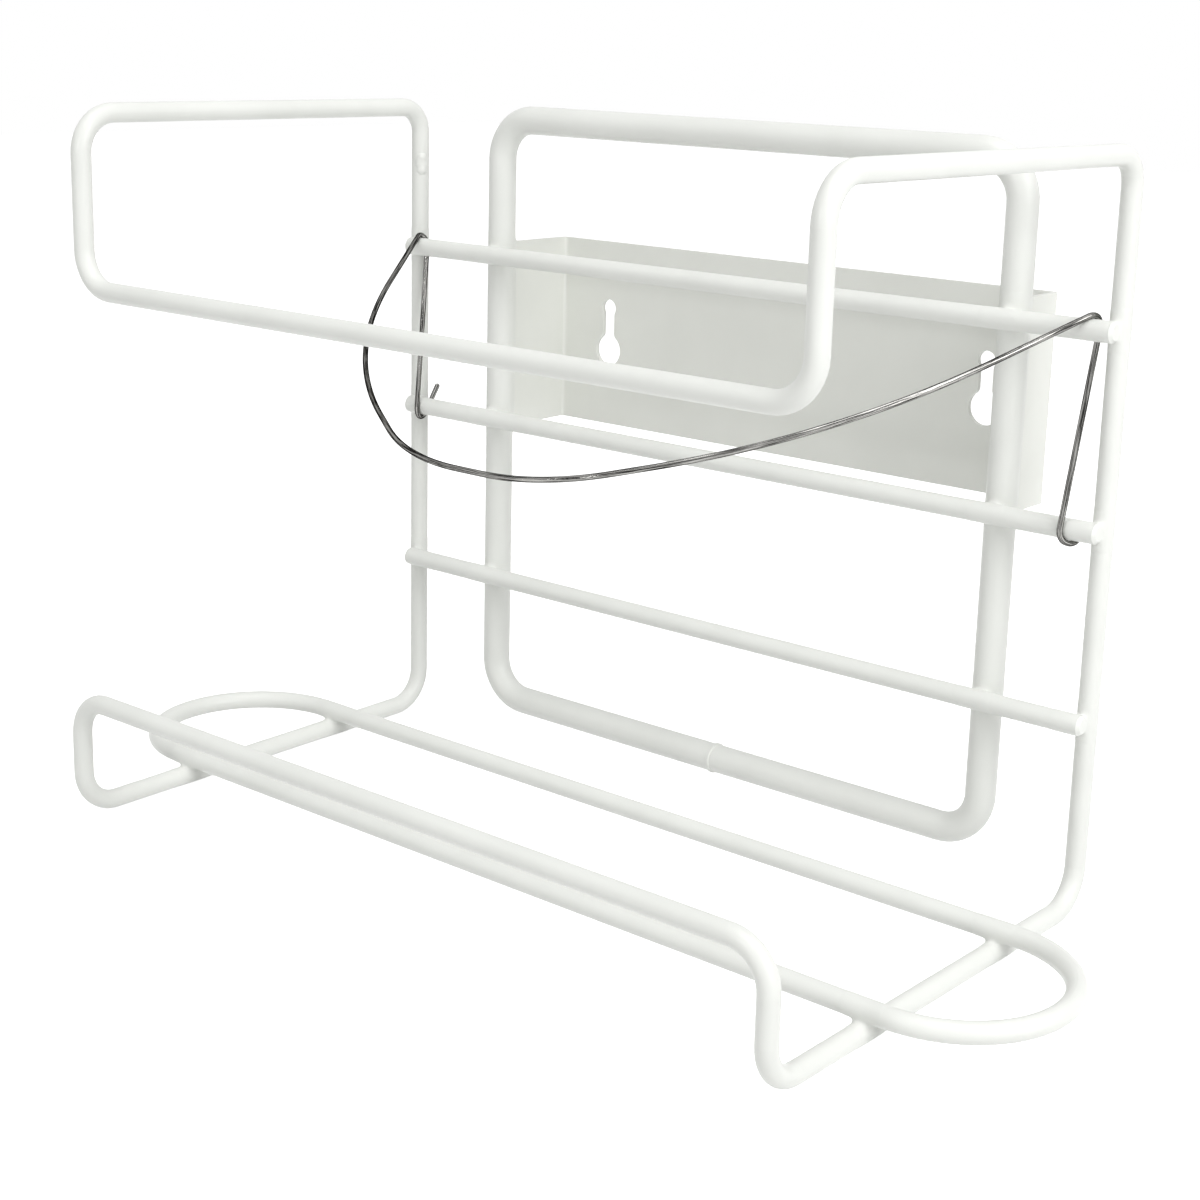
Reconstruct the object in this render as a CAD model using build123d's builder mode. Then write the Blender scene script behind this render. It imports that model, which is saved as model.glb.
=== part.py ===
"""Wall rack that holds a carton of disposable gloves.

A bent-wire cradle, three crossbars, a heavier loop behind them, an oval wire that the carton
stands on, a folded wall bracket with two keyholes, and a sprung wire bow that presses the
carton forward.

Frame, in millimetres: X runs across the rack, Y towards the wall, Z up.
The origin is the centre of the wall bracket's back face, so the wall is the plane Y = 0.
"""

from build123d import *
from math import asin, cos, degrees, radians, sin
import os

os.makedirs("parts", exist_ok=True)

# ---------------------------------------------------------------- driving dimensions

# wire stock, measured over its coating
rack_wire = 5.6
loop_wire = 8.6
spring_wire = 1.6

# welds: how far crossing wires are pressed into each other, and the nugget between them
weld_set_down = 0.3
weld_nugget = 3.0
weld_inset = 0.6
weld_reach = 1.2
weld_gap = 0.05
seam_swell = 0.35
seam_length = 1.2
seam_round = 0.3
flash_width = 4.6
flash_length = 6.6
flash_lift = 0.3
flash_bearing = 56.0
flash_round = 1.5

# where the cradle stands, from the origin
wall_to_uprights = 29.8
plate_centre_height = 130.5
cradle_shift = -2.0

# cradle: two uprights, two arms at the top, two at the bottom, and a bar across each front
cradle_width = 250.0
cradle_height = 200.0
front_toe_in = 2.0
top_arm_reach = 132.5
top_front_drop = 48.0
bottom_arm_reach = 139.0
bottom_front_rise = 34.0
top_back_bend = 8.0
bottom_back_bend = 11.0
front_bend = 11.0
upright_weld_height = 182.1

# crossbars, one every pitch above the bottom arms
crossbar_length = 251.0
crossbar_pitch = 52.0
crossbar_end_bevel = 0.8

# back loop
loop_width = 184.0
loop_bottom_height = 10.0
loop_height = 188.0
loop_bend = 12.5

# oval that the carton stands on
oval_length = 318.0
oval_width = 60.0
oval_back_reach = 40.0

# folded wall bracket
sheet = 1.5
bracket_width = 180.0
bracket_height = 59.0
bracket_bend = 2.5
keyhole_spacing = 139.0
keyhole_head = 10.0
keyhole_slot = 4.6
keyhole_seat = 5.6
keyhole_rise = 13.6
keyhole_shoulder = 2.0
keyhole_head_below_centre = 5.4

# sprung bow: its ends wrap the top crossbar and hook under the middle one
bow_droop = 23.8
bow_reach = 108.6
bow_crown_corner = 23.4
bow_side_corner = 86.0
bow_side_reach = 68.4
bow_crown_bend = 64.0
bow_side_bend = 162.0
wrap_half_span = 120.2
hook_half_span = 117.0
tail_half_span = 119.5
spring_clearance = 0.1
spring_corner_ease = 0.2
left_spring_tail = 9.0
right_spring_tail = 1.5
spring_tail_lean = 33.0
spring_tip_round = 0.6

# ---------------------------------------------------------------- positions that follow

arm_z = -plate_centre_height
top_z = arm_z + cradle_height
upright_y = -wall_to_uprights
upright_x = cradle_width / 2
front_x = upright_x - front_toe_in
crossbar_y = upright_y - (rack_wire - weld_set_down)
loop_y = crossbar_y + (rack_wire + loop_wire) / 2 - weld_set_down
crossbar_heights = {
    "bottom_crossbar": arm_z + crossbar_pitch,
    "middle_crossbar": arm_z + 2 * crossbar_pitch,
    "top_crossbar": arm_z + 3 * crossbar_pitch,
}
loop_bottom_z = arm_z + loop_bottom_height
oval_z = arm_z + rack_wire - weld_set_down
oval_y = upright_y - oval_back_reach - oval_width / 2

# ---------------------------------------------------------------- helpers


def round_run(start, end, diameter):
    """A straight length of round wire between two points."""
    run_axis = Vector(*end) - Vector(*start)
    with BuildPart() as run:
        with BuildSketch(Plane(origin=start, z_dir=run_axis)):
            Circle(diameter / 2)
        extrude(amount=run_axis.length)
    return run.part


def seam_ring(centre, direction, diameter):
    """The low swelling left round a wire where its two ends are butt-welded."""
    with BuildPart() as ring:
        with BuildSketch(Plane(origin=centre, z_dir=direction)):
            Circle(diameter / 2 + seam_swell)
        extrude(amount=seam_length / 2, both=True)
        fillet(ring.edges(), seam_round)
    return ring.part


def weld_flash(centre):
    """A low oblong bead on one side of an upright, where the cradle's wire ends are joined."""
    bearing = radians(flash_bearing)
    offset = (rack_wire - flash_width) / 2 + flash_lift
    flash_centre = centre + Vector(sin(bearing), -cos(bearing)) * offset
    with BuildPart() as flash:
        with BuildSketch(Plane(origin=flash_centre)):
            Circle(flash_width / 2)
        extrude(amount=flash_length / 2, both=True)
        fillet(flash.edges().filter_by(GeomType.CIRCLE), flash_round)
    return flash.part


def arm_ends(side, front_y, z):
    """Back and front ends of one cradle arm's centreline."""
    back = (cradle_shift + side * upright_x, upright_y, z)
    front = (cradle_shift + side * front_x, front_y, z)
    return back, front


# ---------------------------------------------------------------- cradle frame
# One closed wire: up an upright, forward along the top, down, across the front, back along the
# other top arm, down the other upright, and the same again at the bottom.

top_front_y = upright_y - top_arm_reach
bottom_front_y = upright_y - bottom_arm_reach
left_top, left_top_front = arm_ends(-1, top_front_y, top_z)
right_top, right_top_front = arm_ends(1, top_front_y, top_z)
left_bottom, left_bottom_front = arm_ends(-1, bottom_front_y, arm_z)
right_bottom, right_bottom_front = arm_ends(1, bottom_front_y, arm_z)
drop = Vector(0, 0, -top_front_drop)
rise = Vector(0, 0, bottom_front_rise)

bends = [bottom_back_bend, top_back_bend] + [front_bend] * 4
bends += [top_back_bend, bottom_back_bend] + [front_bend] * 4

with BuildPart() as cradle_frame:
    with BuildLine():
        cradle_path = FilletPolyline(
            left_bottom,
            left_top,
            left_top_front,
            Vector(*left_top_front) + drop,
            Vector(*right_top_front) + drop,
            right_top_front,
            right_top,
            right_bottom,
            right_bottom_front,
            Vector(*right_bottom_front) + rise,
            Vector(*left_bottom_front) + rise,
            left_bottom_front,
            radius=bends,
            close=True,
        )
    with BuildSketch(Plane(origin=cradle_path @ 0, z_dir=cradle_path % 0)):
        Circle(rack_wire / 2)
    sweep()
    add(weld_flash(Vector(left_bottom[0], upright_y, arm_z + upright_weld_height)))

# ---------------------------------------------------------------- back loop

loop_corners = [
    (side * loop_width / 2, loop_y, loop_bottom_z + level * loop_height)
    for side, level in ((-1, 0), (-1, 1), (1, 1), (1, 0))
]

with BuildPart() as back_loop:
    with BuildLine():
        loop_path = FilletPolyline(*loop_corners, radius=loop_bend, close=True)
    with BuildSketch(Plane(origin=loop_path @ 0, z_dir=loop_path % 0)):
        Circle(loop_wire / 2)
    sweep()
    add(seam_ring((0, loop_y, loop_bottom_z), (1, 0, 0), loop_wire))

# ---------------------------------------------------------------- crossbars
# Each is welded to the front of both uprights and of the loop's two sides. The seats are cut
# for the wires behind, and a nugget fills each crossing.

crossbar_x = cradle_shift / 2
nugget_end_y = crossbar_y + rack_wire / 2 + weld_reach
nugget_limit = crossbar_length / 2 - weld_nugget / 2 - weld_inset
crossings = [
    (cradle_shift - upright_x, upright_y, rack_wire),
    (-loop_width / 2, loop_y, loop_wire),
    (loop_width / 2, loop_y, loop_wire),
    (cradle_shift + upright_x, upright_y, rack_wire),
]


def nugget_x(x):
    """A crossing's place along the crossbar, kept within the bar's own length."""
    return crossbar_x + max(-nugget_limit, min(nugget_limit, x - crossbar_x))


for name, bar_z in crossbar_heights.items():
    nuggets = [
        round_run((nugget_x(x), crossbar_y, bar_z), (nugget_x(x), nugget_end_y, bar_z), weld_nugget)
        for x, _, _ in crossings
    ]
    seats = [
        round_run(
            (x, behind_y, bar_z - rack_wire),
            (x, behind_y, bar_z + rack_wire),
            wire + 2 * weld_gap,
        )
        for x, behind_y, wire in crossings
    ]
    with BuildPart() as crossbar:
        with BuildSketch(Plane(origin=(crossbar_x, crossbar_y, bar_z), z_dir=(1, 0, 0))):
            Circle(rack_wire / 2)
        extrude(amount=crossbar_length / 2, both=True)
        chamfer(crossbar.edges().filter_by(GeomType.CIRCLE), crossbar_end_bevel)
        add(nuggets)
        add(seats, mode=Mode.SUBTRACT)
    crossbar.part.label = name
    export_step(crossbar.part, f"parts/{name}.step")

# ---------------------------------------------------------------- base oval
# It lies on the two bottom arms and runs out past them at each end.

arm_lines = [arm_ends(side, bottom_front_y, arm_z) for side in (-1, 1)]
oval_crossings = [
    Vector(*back) + (Vector(*front) - Vector(*back)) * (reach / bottom_arm_reach)
    for back, front in arm_lines
    for reach in (oval_back_reach, oval_back_reach + oval_width)
]
nugget_foot_z = oval_z - rack_wire / 2 - weld_reach
oval_nuggets = [
    round_run((point.X, point.Y, oval_z), (point.X, point.Y, nugget_foot_z), weld_nugget)
    for point in oval_crossings
]
arm_seats = [round_run(back, front, rack_wire + 2 * weld_gap) for back, front in arm_lines]
oval_straight = oval_length - oval_width
oval_corners = [
    (cradle_shift + side * oval_straight / 2, oval_y + level * oval_width / 2, oval_z)
    for side, level in ((-1, -1), (1, -1), (1, 1), (-1, 1))
]

with BuildPart() as base_oval:
    with BuildLine():
        front_run = Line(oval_corners[0], oval_corners[1])
        right_end = TangentArc(oval_corners[1], oval_corners[2], tangent=(1, 0, 0))
        back_run = Line(oval_corners[2], oval_corners[3])
        left_end = TangentArc(oval_corners[3], oval_corners[0], tangent=(-1, 0, 0))
    with BuildSketch(Plane(origin=front_run @ 0, z_dir=front_run % 0)):
        Circle(rack_wire / 2)
    sweep()
    add(oval_nuggets)
    add(arm_seats, mode=Mode.SUBTRACT)

# ---------------------------------------------------------------- wall bracket
# One folded sheet: a back plate on the wall and two wings that reach forward to the loop.

wing_x = bracket_width / 2
head_z = -keyhole_head_below_centre
loop_sides = [
    round_run(
        (side * loop_width / 2, loop_y, -bracket_height),
        (side * loop_width / 2, loop_y, bracket_height),
        loop_wire + 2 * weld_gap,
    )
    for side in (-1, 1)
]

with BuildPart() as wall_bracket:
    with BuildLine(Plane.XY.offset(bracket_height / 2)):
        FilletPolyline(
            (-wing_x, loop_y),
            (-wing_x, 0),
            (wing_x, 0),
            (wing_x, loop_y),
            radius=bracket_bend,
        )
    make_brake_formed(thickness=sheet, station_widths=bracket_height, side=Side.RIGHT)
    with BuildSketch(Plane.XZ) as keyholes:
        with Locations((-keyhole_spacing / 2, 0), (keyhole_spacing / 2, 0)):
            with Locations((0, head_z)):
                Circle(keyhole_head / 2)
            with Locations((0, head_z + keyhole_rise / 2)):
                Rectangle(keyhole_slot, keyhole_rise)
            with Locations((0, head_z + keyhole_rise)):
                Circle(keyhole_seat / 2)
        shoulders = keyholes.vertices().filter_by_position(
            Axis.Y, head_z + keyhole_slot / 2, head_z + keyhole_rise / 2
        )
        fillet(shoulders, keyhole_shoulder)
    extrude(amount=2 * sheet, both=True, mode=Mode.SUBTRACT)
    add(loop_sides, mode=Mode.SUBTRACT)

# ---------------------------------------------------------------- retaining spring
# One spring wire. Each end hooks under the middle crossbar, its leg climbs behind the top one,
# wraps over it, and runs out into the bow.

wrap_radius = (rack_wire + spring_wire) / 2 + spring_clearance
bend_radius = wrap_radius - spring_corner_ease
leg_lean = degrees(asin(2 * wrap_radius / crossbar_pitch))
top_bar_z = crossbar_heights["top_crossbar"]
middle_bar_z = crossbar_heights["middle_crossbar"]


def around(side, half_spans, bar_z, first, last):
    """Corners of a path that turns about a crossbar, one for each distance from the middle.

    Angles are in the YZ plane, from +Y towards +Z, and give where the wire lies on the bar.
    """
    step = (last - first) / len(half_spans)
    corner_radius = wrap_radius / cos(radians(step / 2))
    points = []
    for i, half_span in enumerate(half_spans):
        angle = radians(first + step * (i + 0.5))
        y = crossbar_y + corner_radius * cos(angle)
        z = bar_z + corner_radius * sin(angle)
        points.append(Vector(cradle_shift + side * half_span, y, z))
    return points


def on_bow(side, half_span, reach):
    """A point in the bow's drooping plane, so far from the top crossbar."""
    droop = radians(bow_droop)
    y = crossbar_y - wrap_radius * sin(droop) - reach * cos(droop)
    z = top_bar_z + wrap_radius * cos(droop) - reach * sin(droop)
    return Vector(cradle_shift + side * half_span, y, z)


def spring_half(side, tail):
    """Corners of one half of the spring, from the tip of its hook to the bow's crown."""
    tail_angle = radians(90 - spring_tail_lean)
    hook_spans = (tail_half_span, hook_half_span)
    hook = around(side, hook_spans, middle_bar_z, 360 - spring_tail_lean, 180 - leg_lean)
    tip = hook[0] + Vector(0, cos(tail_angle), sin(tail_angle)) * (tail + wrap_radius)
    wrap = around(side, (wrap_half_span, wrap_half_span), top_bar_z, -leg_lean, 90 + bow_droop)
    bow = [
        on_bow(side, bow_side_corner, bow_side_reach),
        on_bow(side, bow_crown_corner, bow_reach),
    ]
    return [tip, *hook, *wrap, *bow]


half_bends = [bend_radius] * 4 + [bow_side_bend, bow_crown_bend]

with BuildPart() as retaining_spring:
    with BuildLine():
        spring_path = FilletPolyline(
            *spring_half(-1, left_spring_tail),
            *reversed(spring_half(1, right_spring_tail)),
            radius=half_bends + half_bends[::-1],
        )
    with BuildSketch(Plane(origin=spring_path @ 0, z_dir=spring_path % 0)):
        Circle(spring_wire / 2)
    sweep()
    fillet(retaining_spring.faces().filter_by(GeomType.PLANE).edges(), spring_tip_round)

# ---------------------------------------------------------------- files

cradle_frame.part.label = "cradle_frame"
export_step(cradle_frame.part, "parts/cradle_frame.step")
back_loop.part.label = "back_loop"
export_step(back_loop.part, "parts/back_loop.step")
base_oval.part.label = "base_oval"
export_step(base_oval.part, "parts/base_oval.step")
wall_bracket.part.label = "wall_bracket"
export_step(wall_bracket.part, "parts/wall_bracket.step")
retaining_spring.part.label = "retaining_spring"
export_step(retaining_spring.part, "parts/retaining_spring.step")
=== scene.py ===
from math import asin, ceil, cos, degrees, pi, radians, sin, tan

import bmesh
import bpy
from mathutils import Matrix, Quaternion, Vector


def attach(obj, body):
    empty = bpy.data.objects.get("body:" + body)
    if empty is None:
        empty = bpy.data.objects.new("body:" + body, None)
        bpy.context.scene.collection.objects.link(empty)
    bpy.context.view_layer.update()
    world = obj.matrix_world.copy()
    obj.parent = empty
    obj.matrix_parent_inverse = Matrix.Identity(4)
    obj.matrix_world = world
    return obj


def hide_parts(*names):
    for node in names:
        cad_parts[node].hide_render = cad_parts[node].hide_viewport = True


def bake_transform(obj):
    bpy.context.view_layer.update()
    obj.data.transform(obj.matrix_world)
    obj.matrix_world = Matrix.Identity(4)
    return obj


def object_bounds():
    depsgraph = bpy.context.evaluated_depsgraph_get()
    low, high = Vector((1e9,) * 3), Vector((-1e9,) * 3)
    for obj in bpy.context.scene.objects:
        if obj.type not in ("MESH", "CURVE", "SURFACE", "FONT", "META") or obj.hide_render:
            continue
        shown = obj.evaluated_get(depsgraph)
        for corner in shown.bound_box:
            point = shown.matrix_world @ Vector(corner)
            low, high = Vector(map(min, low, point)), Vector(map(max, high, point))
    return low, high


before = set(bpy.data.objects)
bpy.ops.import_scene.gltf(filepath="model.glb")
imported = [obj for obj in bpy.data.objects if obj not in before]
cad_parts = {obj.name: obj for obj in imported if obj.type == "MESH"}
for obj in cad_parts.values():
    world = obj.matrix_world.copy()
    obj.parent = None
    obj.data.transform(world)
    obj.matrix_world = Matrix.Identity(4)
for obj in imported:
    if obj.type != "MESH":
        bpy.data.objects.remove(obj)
cad_low, cad_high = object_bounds()

MM = 0.001

# ---------------------------------------------------------------- sizes of the rack

RACK_WIRE = 5.6 * MM
LOOP_WIRE = 8.6 * MM
SPRING_WIRE = 1.6 * MM

# Distances in the rack's own frame: X across it, Y towards the wall, Z up.
MIDDLE_X = -2.0 * MM
UPRIGHT_X = 125.0 * MM
UPRIGHT_Y = -29.8 * MM
CROSSBAR_Y = -35.1 * MM
CROSSBAR_MIDDLE_X = -1.0 * MM
CROSSBAR_LENGTH = 251.0 * MM
LOOP_X = 92.0 * MM
LOOP_Y = -28.3 * MM
ARM_Z = -130.5 * MM
BOTTOM_BAR_Z = ARM_Z + 52.0 * MM
MIDDLE_BAR_Z = ARM_Z + 104.0 * MM
TOP_BAR_Z = ARM_Z + 156.0 * MM
ARM_TOE_IN = 2.0 * MM
ARM_REACH = 139.0 * MM
OVAL_Z = ARM_Z + 5.3 * MM
OVAL_REACHES = (40.0 * MM, 100.0 * MM)
WING_X = 90.0 * MM
WING_HALF_HEIGHT = 29.5 * MM
SHEET = 1.5 * MM

WIRE_NODES = (
    "cradle_frame",
    "back_loop",
    "top_crossbar",
    "middle_crossbar",
    "bottom_crossbar",
    "base_oval",
)

# ---------------------------------------------------------------- shader helpers

# A Mix node keeps a set of sockets for each type of data. These are the ones for colours.
MIX_FIRST_COLOUR = 6
MIX_SECOND_COLOUR = 7
MIX_COLOUR = 2

# A pattern's span, as a node gives it.
WHOLE = (0, 1)


def empty_tree(owner):
    """The node tree of a new material or world, with nothing in it."""
    owner.use_nodes = True
    owner.node_tree.nodes.clear()
    return owner.node_tree


def new_material(name):
    """A node material, its tree, and its Principled shader wired to the output."""
    material = bpy.data.materials.new(name)
    tree = empty_tree(material)
    output = tree.nodes.new("ShaderNodeOutputMaterial")
    shader = tree.nodes.new("ShaderNodeBsdfPrincipled")
    tree.links.new(shader.outputs["BSDF"], output.inputs["Surface"])
    return material, tree, shader


def add_node(tree, kind, **inputs):
    """A node of that kind with its unlinked inputs set by name."""
    node = tree.nodes.new(kind)
    for name, value in inputs.items():
        node.inputs[name].default_value = value
    return node


def noise(tree, place, scale, detail, roughness=0.5):
    """A cloudy pattern, with about so many patches to each unit of place."""
    kind = "ShaderNodeTexNoise"
    texture = add_node(tree, kind, Scale=scale, Detail=detail, Roughness=roughness)
    tree.links.new(place, texture.inputs["Vector"])
    return texture.outputs["Fac"]


def map_range(tree, value, before, after):
    """The value, carried over from one (low, high) range to another."""
    node = tree.nodes.new("ShaderNodeMapRange")
    node.inputs["From Min"].default_value, node.inputs["From Max"].default_value = before
    node.inputs["To Min"].default_value, node.inputs["To Max"].default_value = after
    tree.links.new(value, node.inputs["Value"])
    return node.outputs["Result"]


def blend_colours(tree, factor, colours):
    """The first of two colours where the factor is 0, the second where it is 1."""
    node = tree.nodes.new("ShaderNodeMix")
    node.data_type = "RGBA"
    node.inputs[MIX_FIRST_COLOUR].default_value = (*colours[0], 1)
    node.inputs[MIX_SECOND_COLOUR].default_value = (*colours[1], 1)
    tree.links.new(factor, node.inputs["Factor"])
    return node.outputs[MIX_COLOUR]


def bump(tree, height, distance, strength):
    """The way a surface faces when a height is pressed into it."""
    node = add_node(tree, "ShaderNodeBump", Strength=strength, Distance=distance)
    tree.links.new(height, node.inputs["Height"])
    return node.outputs["Normal"]


# ---------------------------------------------------------------- finishes

# Scales are counted to the metre. Each pair runs from a pattern's low end to its high end.
COAT_TONE_SCALE = 38
COAT_TONE_CUT = (0.35, 0.7)
COAT_GLOSS_SCALE = 160
COAT_PEEL_STRENGTH = 0.6
COAT_SHINE = {
    "IOR": 1.5,
    "Specular IOR Level": 0.25,
    "Coat Weight": 0.15,
    "Coat Roughness": 0.1,
}

WIRE_COAT_COLOURS = ((0.78, 0.79, 0.76), (0.82, 0.83, 0.80))
WIRE_COAT_ROUGHNESS = (0.30, 0.42)
WIRE_COAT_PEEL_SCALE = 480
WIRE_COAT_PEEL_DEPTH = 0.02 * MM

SHEET_COAT_COLOURS = ((0.77, 0.78, 0.74), (0.80, 0.81, 0.77))
SHEET_COAT_ROUGHNESS = (0.29, 0.41)
SHEET_COAT_PEEL_SCALE = 260
SHEET_COAT_PEEL_DEPTH = 0.008 * MM

# The steel's two tones along the die's lines, both far darker than bright steel: a real change of
# tone, darkened further as painted dark reflection.
STEEL_TONES_AND_PAINTED_DARK_REFLECTION = ((0.02, 0.02, 0.019), (0.38, 0.375, 0.36))
STEEL_TONE_CUT = (0.42, 0.58)
STEEL_ROUGHNESS = (0.08, 0.16)
# Nearly black reflection at the wire's edges: painted dark reflection.
PAINTED_DARK_EDGE_TINT = (0.02, 0.02, 0.02)

# How tightly the die's lines lie: across the wire, where its radius is 1, and along it by the metre.
DIE_LINE_SCALE = (3.4, 3.4, 90)
DIE_LINE_FINENESS = 0.6
DIE_LINE_DEPTH = 0.08 * MM
DIE_LINE_STRENGTH = 0.8


def powder_coat(name, colours, roughness, peel_scale, peel_depth):
    """Baked white powder: a faint orange peel, a slow change of tone and of gloss."""
    material, tree, shader = new_material(name)
    place = tree.nodes.new("ShaderNodeTexCoord").outputs["Object"]
    patches = noise(tree, place, COAT_TONE_SCALE, detail=3)
    tone = map_range(tree, patches, COAT_TONE_CUT, WHOLE)
    tree.links.new(blend_colours(tree, tone, colours), shader.inputs["Base Color"])
    gloss = map_range(tree, noise(tree, place, COAT_GLOSS_SCALE, detail=2), WHOLE, roughness)
    tree.links.new(gloss, shader.inputs["Roughness"])
    peel = noise(tree, place, peel_scale, detail=1)
    relief = bump(tree, peel, peel_depth, COAT_PEEL_STRENGTH)
    tree.links.new(relief, shader.inputs["Normal"])
    for socket, value in COAT_SHINE.items():
        shader.inputs[socket].default_value = value
    return material


def drawn_spring_steel():
    """Drawn wire: the die's lines along its length, a bright middle, and painted dark reflection:
    steel darkened throughout and edges made nearly black.
    """
    material, tree, shader = new_material("drawn_spring_steel")
    grain = tree.nodes.new("ShaderNodeAttribute")
    grain.attribute_name = "grain"
    lines = add_node(tree, "ShaderNodeMapping", Scale=DIE_LINE_SCALE)
    tree.links.new(grain.outputs["Vector"], lines.inputs["Vector"])
    streaks = noise(tree, lines.outputs["Vector"], 1, detail=3, roughness=DIE_LINE_FINENESS)
    tone = map_range(tree, streaks, STEEL_TONE_CUT, WHOLE)
    # Random tone along the die's lines, in steel darkened as painted dark reflection.
    tree.links.new(blend_colours(tree, tone, STEEL_TONES_AND_PAINTED_DARK_REFLECTION), shader.inputs["Base Color"])
    gloss = map_range(tree, streaks, WHOLE, STEEL_ROUGHNESS)
    tree.links.new(gloss, shader.inputs["Roughness"])
    relief = bump(tree, streaks, DIE_LINE_DEPTH, DIE_LINE_STRENGTH)
    tree.links.new(relief, shader.inputs["Normal"])
    shader.inputs["Metallic"].default_value = 1.0
    # The near-black edge tint paints dark reflection along the wire's edges.
    shader.inputs["Specular Tint"].default_value = (*PAINTED_DARK_EDGE_TINT, 1)
    return material


WIRE_COAT = powder_coat(
    "white_wire_coat",
    WIRE_COAT_COLOURS,
    WIRE_COAT_ROUGHNESS,
    WIRE_COAT_PEEL_SCALE,
    WIRE_COAT_PEEL_DEPTH,
)
SHEET_COAT = powder_coat(
    "white_sheet_coat",
    SHEET_COAT_COLOURS,
    SHEET_COAT_ROUGHNESS,
    SHEET_COAT_PEEL_SCALE,
    SHEET_COAT_PEEL_DEPTH,
)
SPRING_STEEL = drawn_spring_steel()


def finish_node(name, material):
    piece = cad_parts[name]
    piece.data.materials.clear()
    piece.data.materials.append(material)


for wire_node in WIRE_NODES:
    finish_node(wire_node, WIRE_COAT)
finish_node("wall_bracket", SHEET_COAT)

# ---------------------------------------------------------------- pieces


def add_object(name, shape, material):
    """An object of the scene from a finished bmesh."""
    mesh = bpy.data.meshes.new(name)
    shape.to_mesh(mesh)
    shape.free()
    mesh.materials.append(material)
    made = bpy.data.objects.new(name, mesh)
    bpy.context.scene.collection.objects.link(made)
    return made


def new_piece(name, shape, material):
    """A smooth-shaded piece of the rack from a finished bmesh."""
    for face in shape.faces:
        face.smooth = True
    piece = add_object(name, shape, material)
    return piece


# ---------------------------------------------------------------- retaining spring

WRAP_CLEARANCE = 0.1 * MM
WRAP_RADIUS = (RACK_WIRE + SPRING_WIRE) / 2 + WRAP_CLEARANCE
BEND_RADIUS = WRAP_RADIUS - 0.2 * MM
LEG_LEAN = degrees(asin(2 * WRAP_RADIUS / (TOP_BAR_Z - MIDDLE_BAR_Z)))
BOW_DROOP = 23.8
BOW_SIDE = (86.0 * MM, 68.4 * MM)
BOW_CROWN = (23.4 * MM, 108.6 * MM)
BOW_BENDS = (162.0 * MM, 64.0 * MM)
WRAP_HALF_SPANS = (120.2 * MM, 120.2 * MM)
HOOK_HALF_SPANS = (119.5 * MM, 117.0 * MM)
TAIL_LEAN = 33.0
LEFT_TAIL = 9.0 * MM
RIGHT_TAIL = 1.5 * MM

SPRING_STEP = 1.6 * MM
SPRING_TURN_STEP = radians(7)
SPRING_SEGMENTS = 16
DOME_STEPS = 4
DOME_ROOM = 1.2 * SPRING_WIRE / 2


def around_bar(side, half_spans, bar_z, first, last):
    """Corners of a path round a crossbar, from one angle to another, from +Y towards +Z."""
    step = (last - first) / len(half_spans)
    corner_radius = WRAP_RADIUS / cos(radians(step / 2))
    corners = []
    for i, half_span in enumerate(half_spans):
        angle = radians(first + step * (i + 0.5))
        spoke = Vector((0, cos(angle), sin(angle))) * corner_radius
        corners.append(Vector((MIDDLE_X + side * half_span, CROSSBAR_Y, bar_z)) + spoke)
    return corners


def on_bow(side, half_span, reach):
    """A corner in the bow's drooping plane, so far out from the top crossbar."""
    droop = radians(BOW_DROOP)
    start = Vector((MIDDLE_X + side * half_span, CROSSBAR_Y, TOP_BAR_Z))
    lift = Vector((0, -sin(droop), cos(droop))) * WRAP_RADIUS
    return start + lift + Vector((0, -cos(droop), -sin(droop))) * reach


def spring_half(side, tail):
    """Corners of half the spring, from the tip of its hook to the bow's crown."""
    hook = around_bar(side, HOOK_HALF_SPANS, MIDDLE_BAR_Z, 360 - TAIL_LEAN, 180 - LEG_LEAN)
    tail_angle = radians(90 - TAIL_LEAN)
    tip = hook[0] + Vector((0, cos(tail_angle), sin(tail_angle))) * (tail + WRAP_RADIUS)
    wrap = around_bar(side, WRAP_HALF_SPANS, TOP_BAR_Z, -LEG_LEAN, 90 + BOW_DROOP)
    return [tip, *hook, *wrap, on_bow(side, *BOW_SIDE), on_bow(side, *BOW_CROWN)]


def straight_points(start, end, spacing):
    """Points from start up to, but not at, end."""
    count = max(1, ceil((end - start).length / spacing))
    return [start.lerp(end, i / count) for i in range(count)]


def rounded_path(corners, bends, spacing, turn_step):
    """Points along straight runs that are joined by arcs."""
    points = []
    here = corners[0]
    for before, corner, after, bend in zip(corners, corners[1:], corners[2:], bends):
        towards = (before - corner).normalized()
        onwards = (after - corner).normalized()
        half_open = towards.angle(onwards) / 2
        centre = corner + (towards + onwards).normalized() * (bend / sin(half_open))
        arc_start = corner + towards * (bend / tan(half_open))
        arc_end = corner + onwards * (bend / tan(half_open))
        turn = pi - 2 * half_open
        points += straight_points(here, arc_start, spacing)
        spoke = arc_start - centre
        axis = spoke.cross(arc_end - centre)
        count = ceil(max(turn / turn_step, turn * bend / spacing))
        points += [centre + Quaternion(axis, turn * i / count) @ spoke for i in range(count)]
        here = arc_end
    points += straight_points(here, corners[-1], spacing)
    points.append(corners[-1])
    return points


def domed_ends(points, radius):
    """The path with its two ends drawn in to round tips, as (point, radius) pairs."""
    domes = []
    for tip, inner in ((points[0], points[1]), (points[-1], points[-2])):
        inward = (inner - tip).normalized()
        dome = []
        for i in range(1, DOME_STEPS + 1):
            angle = pi / 2 * i / DOME_STEPS
            dome.append((tip + inward * radius * (1 - cos(angle)), radius * sin(angle)))
        domes.append(dome)
    between = [
        (point, radius)
        for point in points[1:-1]
        if min((point - points[0]).length, (point - points[-1]).length) > DOME_ROOM
    ]
    return domes[0] + between + domes[1][::-1]


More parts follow.
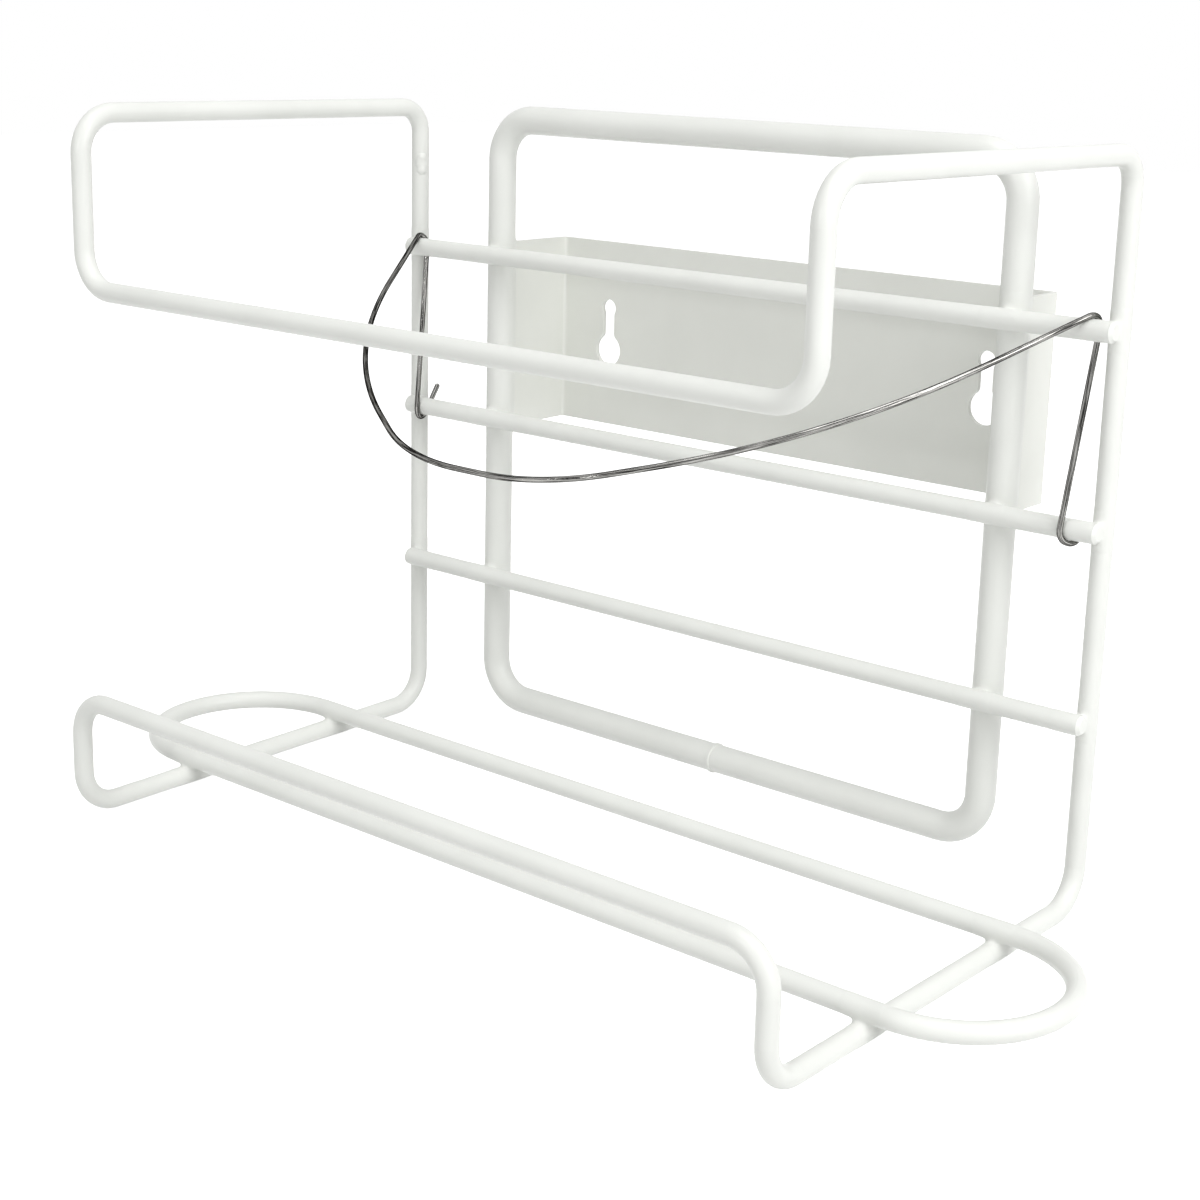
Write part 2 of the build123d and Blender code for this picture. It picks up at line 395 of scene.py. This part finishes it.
def swept_wire(rings, segments):
    """A tube through the rings. Its "grain" runs (cos, sin) round the wire, then along it."""
    shape = bmesh.new()
    grain = shape.verts.layers.float_vector.new("grain")
    start, start_radius = rings[0]
    heading = (rings[1][0] - start).normalized()
    turn = heading.to_track_quat("Z", "Y")
    place = Matrix.LocRotScale(start, turn, (start_radius,) * 3)
    first_ring = bmesh.ops.create_circle(
        shape, cap_ends=True, radius=1, segments=segments, matrix=place
    )
    to_ring = place.inverted()
    for vert in first_ring["verts"]:
        vert[grain] = to_ring @ vert.co
    edges = list(shape.edges)
    along = 0.0
    for i, (point, radius) in enumerate(rings[1:], 1):
        along += (point - rings[i - 1][0]).length
        if i < len(rings) - 1:
            next_heading = (rings[i + 1][0] - rings[i - 1][0]).normalized()
            turn = heading.rotation_difference(next_heading) @ turn
            heading = next_heading
        next_place = Matrix.LocRotScale(point, turn, (radius,) * 3)
        drawn = bmesh.ops.extrude_edge_only(shape, edges=edges)["geom"]
        ring = [item for item in drawn if isinstance(item, bmesh.types.BMVert)]
        bmesh.ops.transform(shape, matrix=next_place @ place.inverted(), verts=ring)
        fresh = set(ring)
        edges = [
            item
            for item in drawn
            if isinstance(item, bmesh.types.BMEdge) and set(item.verts) <= fresh
        ]
        for vert in ring:
            vert[grain].z = along
        place = next_place
    bmesh.ops.holes_fill(shape, edges=edges)
    bmesh.ops.recalc_face_normals(shape, faces=shape.faces)
    return shape


def make_spring():
    corners = spring_half(-1, LEFT_TAIL) + spring_half(1, RIGHT_TAIL)[::-1]
    tight_bends = len(HOOK_HALF_SPANS) + len(WRAP_HALF_SPANS)
    half_bends = [BEND_RADIUS] * tight_bends + list(BOW_BENDS)
    bends = half_bends + half_bends[::-1]
    path = rounded_path(corners, bends, SPRING_STEP, SPRING_TURN_STEP)
    shape = swept_wire(domed_ends(path, SPRING_WIRE / 2), SPRING_SEGMENTS)
    spring = new_piece("sprung_bow", shape, SPRING_STEEL)
    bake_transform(spring)
    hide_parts("retaining_spring")


make_spring()

# ---------------------------------------------------------------- welds under their coat

WEB_GRAIN = 0.45 * MM
WEB_SETTLE = 24
WEB_ALLOWANCE = 0.15 * MM
WEB_SEGMENTS = 32

# How far a web's bars run from the middle of their weld, and how far short of a bar's end.
WELD_REACH = 6.5 * MM
BAR_END_REACH = 9.1 * MM
BAR_END_INSET = 0.4 * MM

# How far the seam's bar runs past the wing, and how its block lies inside the wing's sheet.
SEAM_OVERRUN = 4.0 * MM
SEAM_DEPTH = 9.0 * MM
SEAM_END_INSET = 0.05 * MM
SEAM_FACE_INSET = 0.075 * MM

JOIN_HEIGHT = 182.1 * MM
JOIN_BEARING = radians(56)
JOIN_GRAIN = 0.18 * MM
JOIN_SETTLE = 30
PUDDLE_DEPTH = 1.6 * MM
PUDDLE_HALF_HEIGHT = 2.0 * MM
PUDDLE_SEGMENTS = 32
PUDDLE_RINGS = 24
# Each puddle of the bead: its place up the wire, its half width, and how proud it stands.
PUDDLES = (
    (-1.9 * MM, 1.8 * MM, 0.7 * MM),
    (-0.4 * MM, 2.1 * MM, 0.55 * MM),
    (0.9 * MM, 2.1 * MM, 0.5 * MM),
    (2.0 * MM, 1.7 * MM, 0.66 * MM),
)


def add_bar(shape, start, end, diameter):
    """A short round bar for a web to be drawn from, swollen by as much as it will sink."""
    run = end - start
    radius = diameter / 2 + WEB_ALLOWANCE * RACK_WIRE / diameter
    turn = run.to_track_quat("Z", "Y").to_matrix().to_4x4()
    bmesh.ops.create_cone(
        shape,
        cap_ends=True,
        segments=WEB_SEGMENTS,
        radius1=radius,
        radius2=radius,
        depth=run.length,
        matrix=Matrix.Translation((start + end) / 2) @ turn,
    )


def add_block(shape, low, high):
    """A short stretch of sheet for a web to be drawn from."""
    place = Matrix.Translation((low + high) / 2) @ Matrix.Diagonal((*(high - low), 1))
    bmesh.ops.create_cube(shape, size=1, matrix=place)


def settle(piece, grain, rounds):
    """Fuses a piece's shapes into one skin and lets it sink back to the hollows between them."""
    fuse = piece.modifiers.new("fuse", "REMESH")
    fuse.mode = "VOXEL"
    fuse.voxel_size = grain
    fuse.use_smooth_shade = True
    sink = piece.modifiers.new("sink", "SMOOTH")
    sink.factor = 0.5
    sink.iterations = rounds
    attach(piece, "rack")


def add_crossbar_welds(shape):
    """What meets where the crossbars are welded to the uprights and the loop."""
    half = Vector((WELD_REACH, 0, 0))
    tall = Vector((0, 0, WELD_REACH))
    end_run = Vector((BAR_END_REACH, 0, 0))
    bar_end = Vector((CROSSBAR_LENGTH / 2 - BAR_END_INSET, 0, 0))
    for bar_z in (BOTTOM_BAR_Z, MIDDLE_BAR_Z, TOP_BAR_Z):
        bar_middle = Vector((CROSSBAR_MIDDLE_X, CROSSBAR_Y, bar_z))
        for side in (-1, 1):
            upright = Vector((MIDDLE_X + side * UPRIGHT_X, UPRIGHT_Y, bar_z))
            loop = Vector((side * LOOP_X, LOOP_Y, bar_z))
            on_bar = Vector((loop.x, CROSSBAR_Y, bar_z))
            end = bar_middle + side * bar_end
            add_bar(shape, end - side * end_run, end, RACK_WIRE)
            add_bar(shape, upright - tall, upright + tall, RACK_WIRE)
            add_bar(shape, on_bar - half, on_bar + half, RACK_WIRE)
            add_bar(shape, loop - tall, loop + tall, LOOP_WIRE)


def add_oval_welds(shape):
    """What meets where the oval lies on the two bottom arms."""
    half = Vector((WELD_REACH, 0, 0))
    for side in (-1, 1):
        back = Vector((MIDDLE_X + side * UPRIGHT_X, UPRIGHT_Y, ARM_Z))
        front = back + Vector((-side * ARM_TOE_IN, -ARM_REACH, 0))
        along = (front - back).normalized() * WELD_REACH
        for reach in OVAL_REACHES:
            on_arm = back.lerp(front, reach / ARM_REACH)
            on_oval = Vector((on_arm.x, on_arm.y, OVAL_Z))
            add_bar(shape, on_arm - along, on_arm + along, RACK_WIRE)
            add_bar(shape, on_oval - half, on_oval + half, RACK_WIRE)


def add_wing_welds(shape):
    """What meets along the seams where the bracket's wings are welded to the loop."""
    wing_end = WING_HALF_HEIGHT - SEAM_END_INSET
    past_wing = Vector((0, 0, WING_HALF_HEIGHT + SEAM_OVERRUN))
    for side in (-1, 1):
        loop = Vector((side * LOOP_X, LOOP_Y, 0))
        add_bar(shape, loop - past_wing, loop + past_wing, LOOP_WIRE)
        outer = side * (WING_X - SEAM_FACE_INSET)
        inner = side * (WING_X - SHEET + SEAM_FACE_INSET)
        low = Vector((min(outer, inner), LOOP_Y, -wing_end))
        high = Vector((max(outer, inner), LOOP_Y + SEAM_DEPTH, wing_end))
        add_block(shape, low, high)


def make_webs(name, *welds):
    """The coat that fills the hollows at some of the welds."""
    shape = bmesh.new()
    for add_welds in welds:
        add_welds(shape)
    settle(new_piece(name, shape, WIRE_COAT), WEB_GRAIN, WEB_SETTLE)


def make_join_bead():
    """The uneven bead on the left upright where the cradle wire's two ends are joined."""
    join = Vector((MIDDLE_X - UPRIGHT_X, UPRIGHT_Y, ARM_Z + JOIN_HEIGHT))
    outward = Vector((sin(JOIN_BEARING), -cos(JOIN_BEARING), 0))
    turn = Matrix.Rotation(JOIN_BEARING, 4, "Z")
    shape = bmesh.new()
    for rise, half_width, proud in PUDDLES:
        centre = join + outward * (RACK_WIRE / 2 + proud - PUDDLE_DEPTH) + Vector((0, 0, rise))
        size = Matrix.Diagonal((half_width, PUDDLE_DEPTH, PUDDLE_HALF_HEIGHT, 1))
        bmesh.ops.create_uvsphere(
            shape,
            u_segments=PUDDLE_SEGMENTS,
            v_segments=PUDDLE_RINGS,
            radius=1,
            matrix=Matrix.Translation(centre) @ turn @ size,
        )
    bead = new_piece("cradle_join_bead", shape, WIRE_COAT)
    settle(bead, JOIN_GRAIN, JOIN_SETTLE)


make_webs("loop_and_crossbar_webs", add_crossbar_welds, add_wing_welds)
make_webs("oval_webs", add_oval_welds)
make_join_bead()

# ---------------------------------------------------------------- floor, lights and camera

FLOOR_SIZE = 6.0
FLOOR_COLOUR = (0.74, 0.74, 0.74)
FLOOR_GLOW = 0.8

# The world's light on surfaces: where it is brightest, its tint, and its two strengths, from the
# far side to the bright one.
LIGHT_SIDE = Vector((0.55, -0.45, 0.70)).normalized()
LIGHT_TINT = (0.995, 1.0, 0.985)
LIGHT_STRENGTHS = (0.21, 0.62)

# Each lamp's name, place, width and watts.
LAMPS = (
    ("key", (0.84, -0.23, 0.36), 0.6, 4.1),
    ("top", (0.2, -0.4, 1.45), 1.0, 7.9),
    ("front", (0.02, -0.8, 0.2), 0.1, 0.5),
)

# The view: where the camera looks, from which side and how far off. Its focal length and the
# middle of its lens are counted in the pixels of a square frame.
VIEW_TARGET = Vector((-20.88, -44.87, -49.39)) * MM
VIEW_AZIMUTH = radians(39.047)
VIEW_ELEVATION = radians(13.762)
VIEW_ROLL = radians(1.649)
VIEW_DISTANCE = 615.77 * MM
VIEW_FRAME = 1200
VIEW_FOCAL_LENGTH = 2061.334
VIEW_MIDDLE_X = 634.959
VIEW_MIDDLE_Y = 529.958
SENSOR_WIDTH = 36
NEAR_CLIP = 0.01


def rays_that_see(tree):
    """1 for the rays that show the white ground: the camera's, mirrored and refracted ones."""
    paths = tree.nodes.new("ShaderNodeLightPath")
    seeing = paths.outputs["Is Camera Ray"]
    for ray in ("Is Glossy Ray", "Is Transmission Ray"):
        either = tree.nodes.new("ShaderNodeMath")
        either.operation = "MAXIMUM"
        tree.links.new(seeing, either.inputs[0])
        tree.links.new(paths.outputs[ray], either.inputs[1])
        seeing = either.outputs[0]
    return seeing


def pale_floor():
    """A matt floor that takes the light, and glows white for the rays that see the ground."""
    material = bpy.data.materials.new("pale_floor")
    tree = empty_tree(material)
    output = tree.nodes.new("ShaderNodeOutputMaterial")
    matt = add_node(tree, "ShaderNodeBsdfDiffuse", Color=(*FLOOR_COLOUR, 1))
    glow = tree.nodes.new("ShaderNodeEmission")
    strength = map_range(tree, rays_that_see(tree), WHOLE, (0, FLOOR_GLOW))
    tree.links.new(strength, glow.inputs["Strength"])
    both = tree.nodes.new("ShaderNodeAddShader")
    tree.links.new(matt.outputs[0], both.inputs[0])
    tree.links.new(glow.outputs[0], both.inputs[1])
    tree.links.new(both.outputs[0], output.inputs["Surface"])
    return material


def make_floor(z):
    shape = bmesh.new()
    bmesh.ops.create_grid(shape, x_segments=1, y_segments=1, size=FLOOR_SIZE / 2)
    bmesh.ops.translate(shape, vec=(0, 0, z), verts=shape.verts)
    floor = add_object("floor", shape, pale_floor())


def make_world():
    """Soft pale light on surfaces, brightest from LIGHT_SIDE, and a plain white ground."""
    world = bpy.data.worlds.new("studio")
    bpy.context.scene.world = world
    tree = empty_tree(world)
    output = tree.nodes.new("ShaderNodeOutputWorld")
    place = tree.nodes.new("ShaderNodeTexCoord")
    facing = tree.nodes.new("ShaderNodeVectorMath")
    facing.operation = "DOT_PRODUCT"
    facing.inputs[1].default_value = LIGHT_SIDE
    tree.links.new(place.outputs["Generated"], facing.inputs[0])
    light = add_node(tree, "ShaderNodeBackground", Color=(*LIGHT_TINT, 1))
    strength = map_range(tree, facing.outputs["Value"], (-1, 1), LIGHT_STRENGTHS)
    tree.links.new(strength, light.inputs["Strength"])
    white = add_node(tree, "ShaderNodeBackground", Color=(1, 1, 1, 1))
    choose = tree.nodes.new("ShaderNodeMixShader")
    tree.links.new(rays_that_see(tree), choose.inputs["Fac"])
    tree.links.new(light.outputs[0], choose.inputs[1])
    tree.links.new(white.outputs[0], choose.inputs[2])
    tree.links.new(choose.outputs[0], output.inputs["Surface"])


def make_lamp(name, place, width, watts):
    """A round lamp that faces the middle of the rack."""
    lamp = bpy.data.lights.new(name, "AREA")
    lamp.shape = "DISK"
    lamp.size = width
    lamp.energy = watts
    aim = (cad_low + cad_high) / 2 - Vector(place)
    holder = bpy.data.objects.new(name, lamp)
    holder.location = place
    holder.rotation_euler = aim.to_track_quat("-Z", "Y").to_euler()
    bpy.context.scene.collection.objects.link(holder)


def make_camera():
    back = Vector(
        (
            sin(VIEW_AZIMUTH) * cos(VIEW_ELEVATION),
            -cos(VIEW_AZIMUTH) * cos(VIEW_ELEVATION),
            sin(VIEW_ELEVATION),
        )
    )
    level_right = Vector((cos(VIEW_AZIMUTH), sin(VIEW_AZIMUTH), 0))
    level_up = back.cross(level_right)
    right = level_right * cos(VIEW_ROLL) + level_up * sin(VIEW_ROLL)
    up = level_up * cos(VIEW_ROLL) - level_right * sin(VIEW_ROLL)
    turn = Matrix((right, up, back)).transposed().to_4x4()
    lens = bpy.data.cameras.new("camera")
    lens.sensor_width = SENSOR_WIDTH
    lens.lens = VIEW_FOCAL_LENGTH / VIEW_FRAME * SENSOR_WIDTH
    lens.shift_x = 0.5 - VIEW_MIDDLE_X / VIEW_FRAME
    lens.shift_y = VIEW_MIDDLE_Y / VIEW_FRAME - 0.5
    lens.clip_start = NEAR_CLIP
    camera = bpy.data.objects.new("camera", lens)
    camera.matrix_world = Matrix.Translation(VIEW_TARGET + back * VIEW_DISTANCE) @ turn
    bpy.context.scene.collection.objects.link(camera)
    bpy.context.scene.camera = camera


make_floor(cad_low.z)
make_world()
for lamp_values in LAMPS:
    make_lamp(*lamp_values)
make_camera()
bpy.context.scene.view_settings.view_transform = "Standard"
